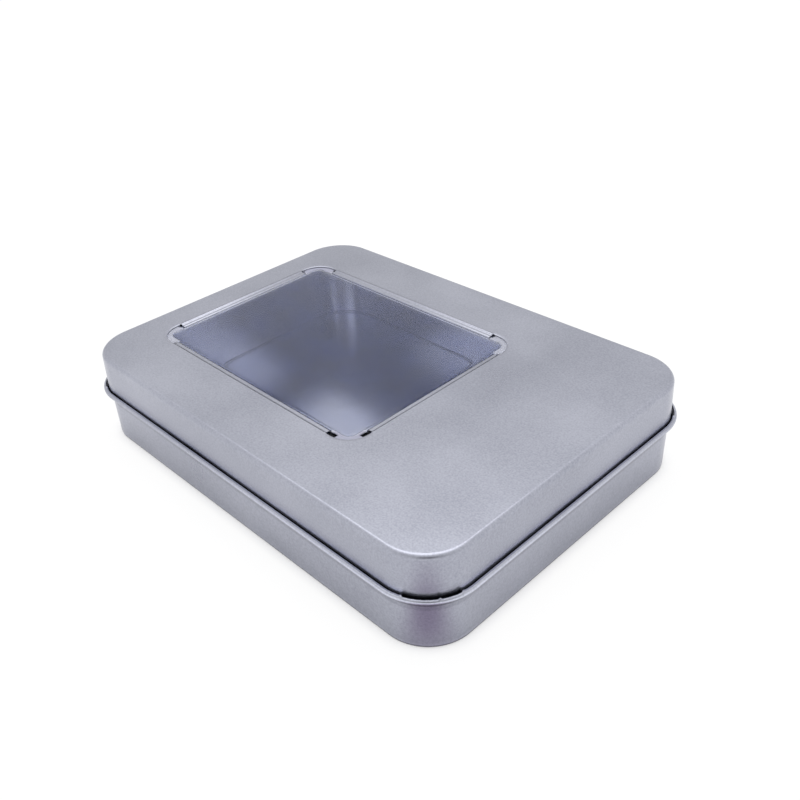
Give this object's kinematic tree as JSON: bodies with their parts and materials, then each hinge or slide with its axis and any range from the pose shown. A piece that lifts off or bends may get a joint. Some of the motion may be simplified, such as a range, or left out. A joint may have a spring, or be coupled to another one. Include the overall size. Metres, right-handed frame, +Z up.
{
  "type": "tin box",
  "caption": "Shallow rectangular tin box with rounded corners and a lift-off lid, which has a rolled lower edge and a clear window clinched into its top off centre",
  "frame": {"origin": "under the middle of the box, on the plane that it stands on", "axes": "X along the 115 mm length with the lid's window lying towards -X, Y along the 85 mm width, Z up"},
  "size_m": [0.115, 0.085, 0.022],
  "materials": {
    "tinplate_body": "satin",
    "tinplate_lid": "satin",
    "clear_sheet": "gloss"
  },
  "bodies": {
    "pan": {"body_pan": "tinplate_body"},
    "lid": {"lid_shell": "tinplate_lid", "window_sheet": "clear_sheet"}
  },
  "joints": [
    {"name": "lid_lift", "type": "slide", "parent": "pan", "child": "lid", "axis": [0, 0, 1], "range_m": [0, 0.045]}
  ]
}
